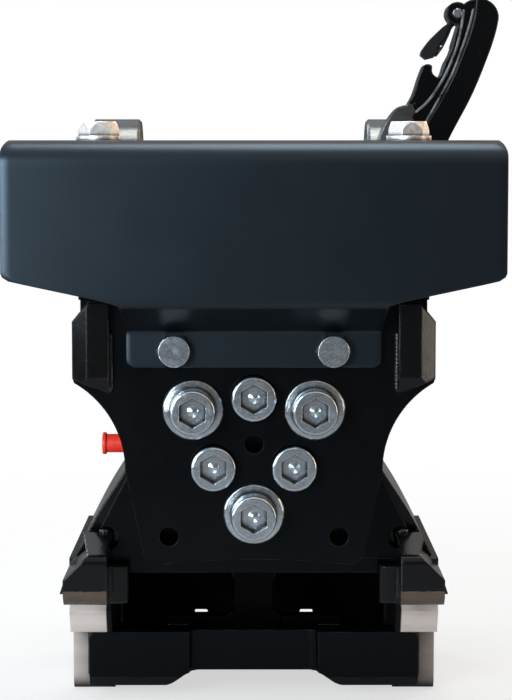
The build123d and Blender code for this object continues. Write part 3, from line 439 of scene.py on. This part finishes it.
def moulded(name, colour, rough, texture):
    """Moulded plastic or rubber with a slight texture."""
    s = Shader(name)
    normal, edges = s.soft_edges(0.0005)
    base = s.mix(s.uneven(0.0, 1.0, s.noise(120.0, 3.0)), shade(colour, 0.85), shade(colour, 1.1))
    # Painted highlight: the edges are drawn lighter
    final = s.mix(s.math("MULTIPLY", edges, 0.4), base, shade(colour, 1.5))
    dull = s.uneven(rough - 0.05, rough + 0.1, s.noise(200.0, 3.0))
    skin = s.bump(s.noise(900.0, 2.0), texture, 0.0002, normal)
    return s.finish(final, dull, skin)


def screw_axes():
    """Axes of the six screws of an end plate, in X and Z: three with collars and three beside them."""
    places = [(COLLAR_CIRCLE, angle) for angle in (30, 150, 270)]
    places += [(SCREW_CIRCLE, angle) for angle in (90, 210, 330)]
    return [(radius * math.cos(math.radians(angle)), radius * math.sin(math.radians(angle)))
            for radius, angle in places]


def make_materials():
    """Materials of the record's slots, of the nodes in FINISH and of the scene's own pieces."""
    plate = dict(colour=(0.0014, 0.0017, 0.0021), rough=0.22, worn=(0.10, 0.095, 0.09), wear=0.35,
                 peel=0.08, specular_ior_level=0.15, specular_tint=(0.75, 0.9, 1.0, 1.0))
    forged = dict(colour=(0.0020, 0.0021, 0.0025), peel=0.10, edge=0.0016,
                  specular_ior_level=0.30, specular_tint=(0.84, 0.93, 1.0, 1.0))
    rubbed = dict(rough=0.12, worn=(0.16, 0.15, 0.14))
    polished = dict(rough=0.10, worn=(0.22, 0.23, 0.24))
    # Painted shade: a darker, duller copy of the black paint for the crosshead and rear beam, which sit
    # in the shade between the claws
    cavity_shade = dict(colour=(0.0010, 0.0012, 0.0015), rough=0.30, worn=(0.05, 0.05, 0.05), wear=0.2,
                peel=0.08, specular_ior_level=0.06)
    satin = dict(colour=(0.0020, 0.0030, 0.0042), rough=0.33, worn=(0.11, 0.11, 0.11), wear=0.25,
                 peel=0.05, edge=0.0014, drift=0.012,
                 specular_ior_level=0.56, specular_tint=(0.60, 0.81, 1.0, 1.0))
    grey = dict(colour=(0.009, 0.011, 0.014), rough=0.26, worn=(0.2, 0.2, 0.2), wear=0.4, peel=0.12)
    rim = dict(colour=(0.012, 0.013, 0.015), rough=0.22, worn=(0.42, 0.44, 0.46), wear=1.6,
               peel=0.10, edge=0.0016)
    # Painted reflection: a warm band of bright steel on the claws' lower lip, standing in for the floor
    # reflected there
    claw_lip_reflection = dict(steel=(0.24, 0.185, 0.15), low=OPEN, high=(None, -0.004, -0.0762), soft=0.0004)
    # Bare steel on the hook's saddle and the ears' tops; its light grey is also a painted reflection of
    # the bright room on these curved tops
    saddle_steel_sheen = dict(steel=(0.21, 0.225, 0.23), low=OPEN, high=(0.0915, None, 0.1838), soft=0.0012)
    ear_top_steel_sheen = dict(steel=(0.18, 0.185, 0.18), low=(None, None, 0.1600), high=OPEN, soft=0.0012)
    sawn = dict(light=(0.62, 0.55, 0.51), dark=(0.54, 0.475, 0.435), rough=0.55,
                stretch=(9.0, 9.0, 160.0), metallic=0.1, grain_strength=0.12)
    machined = dict(light=(0.62, 0.62, 0.63), dark=(0.50, 0.50, 0.51), rough=0.26,
                    stretch=(700.0, 40.0, 700.0), metallic=1.0, grain_strength=0.15)
    bead = dict(light=(0.006, 0.006, 0.007), dark=(0.003, 0.003, 0.003), rough=0.25,
                stretch=(90.0, 90.0, 90.0), metallic=0.0, grain_strength=0.5)
    return {
        "black_paint": paint("plate_black", **plate),
        "gloss_black_paint": paint("gloss_black", wear=0.4, **rubbed, **forged),
        "claw_paint": paint("claw_black", wear=0.5, zone=claw_lip_reflection, **rubbed, **forged),
        "hook_paint": paint("hook_black", wear=0.6, zone=saddle_steel_sheen, **polished, **forged),
        "ear_steel_sheen": paint("ear_black", wear=0.4, zone=ear_top_steel_sheen, **rubbed, **forged),
        "deep_paint": paint("cavity_shade_black", **cavity_shade),
        "cover_paint": paint("cover_satin", **satin),
        "latch_paint": paint("latch_satin", **grey),
        "rim": paint("rim_worn", **rim),
        "zinc_plating": plated("zinc", (0.70, 0.79, 0.86), (0.56, 0.64, 0.71), 0.15, screw_axes()),
        # Painted light: a lighter copy of the zinc for the cover's top bolts and washers, where the
        # light from above falls
        "top_lit_zinc": plated("top_lit_zinc", (0.95, 0.95, 0.93), (0.88, 0.88, 0.86), 0.42),
        "bronze": plated("bush_bronze", (0.62, 0.42, 0.20), (0.50, 0.32, 0.15), 0.32),
        "bare_steel": raw_steel("cheek_steel", cheek=True, **sawn),
        "machined_steel": raw_steel("turned_steel", **machined),
        "weld": raw_steel("weld_black", **bead),
        "red_plastic": moulded("cap_red", (0.86, 0.040, 0.018), 0.36, 0.2),
        "rubber": moulded("seal_rubber", (0.016, 0.016, 0.017), 0.6, 0.4),
    }


# Finishes of the nodes that look different from the rest of their slot
FINISH = {
    "right_claw": "claw_paint", "left_claw": "claw_paint",
    "right_ear": "ear_steel_sheen", "left_ear": "ear_steel_sheen",
    "load_hook": "hook_paint", "hook_plate": "gloss_black_paint",
    # Painted shade: the crosshead and rear beam get the darker copy of the black paint
    "lock_crosshead": "deep_paint", "rear_beam": "deep_paint",
    # Painted light: the top bolts and washers get the lighter copy of the zinc
    "cover_top_bolts": "top_lit_zinc", "cover_top_washers": "top_lit_zinc",
}


def finish_nodes():
    for name, node in nodes.items():
        for index, material in enumerate(node.data.materials):
            node.data.materials[index] = materials[FINISH.get(name, material.name.split(".")[0])]


# Pieces that only the scene has: weld beads, rims of the hook, a rib on the latch and the dressed cover

def box_mm(name):
    """Lowest and highest corner of a CAD node, in millimetres."""
    low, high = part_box(name)
    return low / MM, high / MM


def add_piece(name, mesh, body, material):
    piece = bpy.data.objects.new(name, mesh)
    scene.collection.objects.link(piece)
    mesh.materials.append(material)
    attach(piece, body)
    return piece


def smoothed(points, steps=8):
    """Catmull-Rom points through the given ones."""
    vectors = [Vector(p) for p in points]
    ends = [2 * vectors[0] - vectors[1]] + vectors + [2 * vectors[-1] - vectors[-2]]
    line = []
    for a, b, c, d in zip(ends, ends[1:], ends[2:], ends[3:]):
        for k in range(steps):
            t = k / steps
            line.append(0.5 * ((2 * b) + (c - a) * t + (2 * a - 5 * b + 4 * c - d) * t * t
                               + (3 * b - a - 3 * c + d) * t ** 3))
    return line + [vectors[-1]]


def divided(line, step):
    """The points of a line with more between them, about a step apart."""
    fine = []
    for start, end in zip(line, line[1:]):
        count = max(1, round((end - start).length / step))
        fine += [start.lerp(end, k / count) for k in range(count)]
    return fine + [line[-1]]


def bead_mesh(name, line, radius, ripple, sides=10):
    """Round bead along a line in millimetres, thicker and thinner from drop to drop, its ends closed."""
    drop = 1.3 * radius
    builder = bmesh.new()
    travelled = 0.0
    rings = []
    for index, point in enumerate(line):
        ahead = line[min(index + 1, len(line) - 1)]
        behind = line[max(index - 1, 0)]
        direction = (ahead - behind).normalized()
        travelled += (point - behind).length
        guide = Vector((0, 1, 0)) if abs(direction.y) < 0.7 else Vector((1, 0, 0))
        across = direction.cross(guide).normalized()
        up = across.cross(direction).normalized()
        from_end = min(index, len(line) - 1 - index)
        taper = min(1.0, 0.45 + 0.3 * from_end)
        swell = radius * (1.0 + ripple * math.cos(travelled * math.tau / drop)) * taper
        ring = []
        for side in range(sides):
            angle = math.tau * side / sides
            spoke = math.cos(angle) * across + math.sin(angle) * up
            ring.append(builder.verts.new(MM * (point + swell * spoke)))
        rings.append(ring)
    for first, second in zip(rings, rings[1:]):
        for side in range(sides):
            other = (side + 1) % sides
            builder.faces.new((first[side], first[other], second[other], second[side]))
    builder.faces.new(rings[0][::-1])
    builder.faces.new(rings[-1])
    bmesh.ops.recalc_face_normals(builder, faces=builder.faces)
    mesh = bpy.data.meshes.new(name)
    builder.to_mesh(mesh)
    builder.free()
    for face in mesh.polygons:
        face.use_smooth = len(face.vertices) == 4
    return mesh


def weld(name, points, radius, body):
    line = divided([Vector(p) for p in points], 0.55 * radius)
    add_piece(name, bead_mesh(name, line, radius, 0.16), body, materials["weld"])


def make_welds():
    """Beads in the corners where plates meet.

    Their middles stand a few tenths off the faces, and their ends stop short of the plates' ends.
    """
    head, lower = "tilt_head", "lower_frame"
    deck_low, deck_high = box_mm("upper_deck")
    lug_low, lug_high = box_mm("rear_lugs")
    beam_low, beam_high = box_mm("front_beam")
    plate_low, plate_high = box_mm("hook_plate")
    claw_high = box_mm("right_claw")[1]
    cheek_high = box_mm("right_cheek")[1]
    ear_x = box_mm("ear_braces")[1].x
    lug_x = min(abs(vertex.co.x) for vertex in nodes["rear_lugs"].data.vertices) / MM - 0.4
    front_y = box_mm("front_plate")[0].y - 0.2
    rear_y = box_mm("rear_plate")[1].y + 0.2
    deck_z = deck_high.z + 0.4
    beam_x, beam_y = beam_high.x + 0.3, beam_high.y - 0.4
    flank_x, flank_y = box_mm("lower_deck")[1].x + 0.5, box_mm("front_cross_plate")[0].y - 0.3
    flank_z = claw_high.z + 0.3
    skirt_x, skirt_z = cheek_high.x + 0.3, cheek_high.z - 0.3
    pairs = {
        "ear_weld": ((ear_x, deck_low.y + 2, deck_z), (ear_x, deck_high.y - 2, deck_z), 2.4, head),
        "lug_weld": ((lug_x, front_y, lug_low.z + 1), (lug_x, front_y, SKIRT_TOP - 1), 1.7, head),
        "rear_lug_weld": ((lug_x, rear_y, lug_low.z + 1), (lug_x, rear_y, lug_high.z - 1.5), 1.7, head),
        "beam_weld": ((beam_x, beam_y, beam_low.z + 2), (beam_x, beam_y, beam_high.z - 2), 1.8, lower),
        "flank_weld": ((flank_x + 6, flank_y, flank_z), (flank_x, flank_y, flank_z), 1.6, lower),
        "skirt_weld": ((skirt_x, beam_low.y, skirt_z), (skirt_x, claw_high.y - 2, skirt_z), 1.5, lower),
    }
    for name, (start, end, radius, body) in pairs.items():
        for side, sign in (("right_", 1), ("left_", -1)):
            weld(side + name, [(sign * x, y, z) for x, y, z in (start, end)], radius, body)
    for name, y in (("front_brace_weld", deck_low.y + 0.4), ("rear_brace_weld", deck_high.y - 0.4)):
        weld(name, [(sign * (ear_x - 3), y, deck_z) for sign in (-1, 1)], 2.2, head)
    for name, y in (("hook_foot_weld", plate_low.y - 0.2), ("hook_heel_weld", plate_high.y + 0.2)):
        weld(name, [(deck_high.x + 0.4, y, z) for z in (plate_low.z + 2, HOOK_WELD_TOP)], 1.8, head)


# The hook's forging: points of its raised borders in X and Z, and where the welds of its plate end
HOOK_OUTER_RIM = [(125.3, 237.5), (123.0, 228.0), (119.3, 216.3), (113.2, 200.1), (105.1, 185.0),
                  (97.6, 171.5)]
HOOK_INNER_RIM = [(119.6, 237.0), (118.2, 226.0), (115.0, 213.4), (108.5, 198.4), (100.4, 186.0),
                  (92.4, 178.6)]
HOOK_RIM_RADIUS = 0.85
HOOK_WELD_TOP = 161.0


def make_hook_rims():
    """Raised borders of the hook's forging, on its front and back."""
    low, high = box_mm("load_hook")
    for side, y in (("front", low.y - 0.1), ("back", high.y + 0.1)):
        for rim, points in (("outer", HOOK_OUTER_RIM), ("inner", HOOK_INNER_RIM)):
            name = f"hook_{rim}_rim_{side}"
            line = divided(smoothed([(x, y, z) for x, z in points]), 0.9 * HOOK_RIM_RADIUS)
            mesh = bead_mesh(name, line, HOOK_RIM_RADIUS, 0.05)
            add_piece(name, mesh, "tilt_head", materials["rim"])


# The latch's rib in X and Z: its outline, and the centre and radius of its holes
RIB_OUTLINE = [(114.5, 228.6), (112.9, 226.4), (111.6, 222.9), (110.0, 219.6), (108.2, 215.9),
               (105.8, 212.5), (104.6, 211.1), (103.6, 211.4), (105.3, 214.8), (107.0, 218.4),
               (109.4, 221.8), (111.6, 226.2), (113.2, 229.4)]
RIB_HOLES = [(107.4, 216.7, 0.9), (105.9, 214.0, 0.6)]
RIB_HALF = 2.2
RIB_ROUND = 0.35


def circle_points(x, z, radius, count=16):
    return [(x + radius * math.cos(math.tau * k / count), z + radius * math.sin(math.tau * k / count))
            for k in range(count)]


def make_latch_rib():
    """Thin rib along the inside of the latch, with two small holes."""
    curve = bpy.data.curves.new("latch_rib", "CURVE")
    curve.dimensions = "2D"
    curve.fill_mode = "BOTH"
    curve.extrude = RIB_HALF * MM
    curve.bevel_depth = RIB_ROUND * MM
    curve.bevel_resolution = 2
    for points in [RIB_OUTLINE] + [circle_points(*hole) for hole in RIB_HOLES]:
        spline = curve.splines.new("POLY")
        spline.points.add(len(points) - 1)
        for point, (x, z) in zip(spline.points, points):
            point.co = (x * MM, z * MM, 0.0, 1.0)
        spline.use_cyclic_u = True
    holder = bpy.data.objects.new("latch_rib_curve", curve)
    mesh = bpy.data.meshes.new_from_object(holder)
    bpy.data.objects.remove(holder)
    low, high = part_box("latch")
    middle = Matrix.Translation((0.0, (low.y + high.y) / 2, 0.0))
    mesh.transform(middle @ Matrix.Rotation(math.pi / 2, 4, "X"))
    mesh.materials.clear()
    add_piece("latch_rib", mesh, "hook_latch", materials["latch_paint"])


# The cover's sheet: thickness, bends, half widths with the levels where they change, and how fast half
# the width grows on the sloping sides
SHEET = 3.0
BEND_RADII = (11.0, 3.5, 3.5)
BEND_STEPS = 8
FOOT_ROUND = 4.0
SKIRT_HALF = 68.0
SKIRT_TOP = 62.0
BELLY_HALF = 70.0
BELLY = 77.0
SIDE_SLOPE = 61.0 / 13.0
SHOULDER_HALF = 126.3
SHOULDER_LOW = 89.0
SHOULDER_HIGH = 94.0
SHOULDER_POWER = 2.6
TOP_ROUND = 8.5
COVER_COLUMNS = 48


def cover_profile():
    """Middle line of the cover's sheet in Y and Z, from the top's back edge to the foot of the skirt."""
    low, high = box_mm("cover")
    top, front, skirt = high.z - SHEET / 2, low.y + SHEET / 2, -SHEET / 2
    corners = [(high.y, top), (front, top), (front, BELLY), (skirt, SKIRT_TOP), (skirt, low.z)]
    line = [Vector((*corners[0], 0))]
    for before, corner, after, radius in zip(corners, corners[1:], corners[2:], BEND_RADII):
        here = Vector((*corner, 0))
        back = (Vector((*before, 0)) - here).normalized()
        on = (Vector((*after, 0)) - here).normalized()
        half = back.angle(on) / 2
        reach = radius / math.tan(half)
        centre = here + (back + on).normalized() * radius / math.sin(half)
        start = here + back * reach - centre
        turn = (math.pi - 2 * half) * (1 if back.cross(on).z < 0 else -1)
        for k in range(BEND_STEPS + 1):
            line.append(centre + Matrix.Rotation(turn * k / BEND_STEPS, 3, "Z") @ start)
    line.append(Vector((*corners[-1], 0)))
    return divided(line, 2.0)


def round_corner(radius, distance):
    """How far a round corner reaches out at a distance from the level of its centre."""
    return math.sqrt(max(0.0, radius ** 2 - distance ** 2)) - radius


def cover_half_width(z):
    """Half of the cover's width at a height: skirt, sloping sides, upright sides with round corners."""
    low, high = box_mm("cover")
    foot, upper = low.z + FOOT_ROUND, high.z - TOP_ROUND
    if z < foot:
        return SKIRT_HALF + round_corner(FOOT_ROUND, foot - z)
    if z < SKIRT_TOP:
        return SKIRT_HALF
    if z < BELLY:
        return SKIRT_HALF + (BELLY_HALF - SKIRT_HALF) * (z - SKIRT_TOP) / (BELLY - SKIRT_TOP)
    if z < SHOULDER_LOW:
        return BELLY_HALF + SIDE_SLOPE * (z - BELLY)
    if z < SHOULDER_HIGH:
        t = (z - SHOULDER_LOW) / (SHOULDER_HIGH - SHOULDER_LOW)
        return SHOULDER_HALF + (high.x - SHOULDER_HALF) * (1 - (1 - t) ** SHOULDER_POWER)
    if z < upper:
        return high.x
    return high.x + round_corner(TOP_ROUND, z - upper)


def make_cover():
    """The guard as one bent sheet with round corners."""
    builder = bmesh.new()
    rows = []
    for point in cover_profile():
        half = cover_half_width(point.y)
        row = [half * (2 * k / COVER_COLUMNS - 1) for k in range(COVER_COLUMNS + 1)]
        rows.append([builder.verts.new(MM * Vector((x, point.x, point.y))) for x in row])
    for first, second in zip(rows, rows[1:]):
        for k in range(COVER_COLUMNS):
            builder.faces.new((first[k], first[k + 1], second[k + 1], second[k]))
    bmesh.ops.recalc_face_normals(builder, faces=builder.faces)
    mesh = bpy.data.meshes.new("cover_sheet")
    builder.to_mesh(mesh)
    builder.free()
    for face in mesh.polygons:
        face.use_smooth = True
    piece = add_piece("cover_sheet", mesh, "tilt_head", materials["cover_paint"])
    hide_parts("cover")
    wall = piece.modifiers.new("wall", "SOLIDIFY")
    wall.thickness = SHEET * MM
    wall.offset = 0.0
    round_edges(piece, width=0.7, segments=2, sharp=50, split=40)


def round_edges(piece, width, segments, sharp, split):
    """Rounds a piece's edges that are sharper than an angle, and keeps the flat faces flat."""
    rounding = piece.modifiers.new("rounding", "BEVEL")
    rounding.width = width * MM
    rounding.segments = segments
    rounding.limit_method = "ANGLE"
    rounding.angle_limit = math.radians(sharp)
    piece.modifiers.new("split", "EDGE_SPLIT").split_angle = math.radians(split)


# Rounding of CAD nodes' sharp edges, as forging and thick paint give it
ROUNDING = {
    "hook_plate": 3.5, "load_hook": 2.2, "right_claw": 1.6, "left_claw": 1.6, "front_beam": 1.2,
    "base_casting": 1.2, "latch": 1.0, "front_lugs": 2.0, "rear_lugs": 2.0,
}


def soften_nodes():
    for name, width in ROUNDING.items():
        round_edges(nodes[name], width, segments=3, sharp=40, split=38)
        for face in nodes[name].data.polygons:
            face.use_smooth = True


make_camera()
make_world()
make_floor()
make_lights()
materials = make_materials()
finish_nodes()
make_cover()
make_welds()
make_hook_rims()
make_latch_rib()
soften_nodes()

scene.view_settings.view_transform = "Standard"
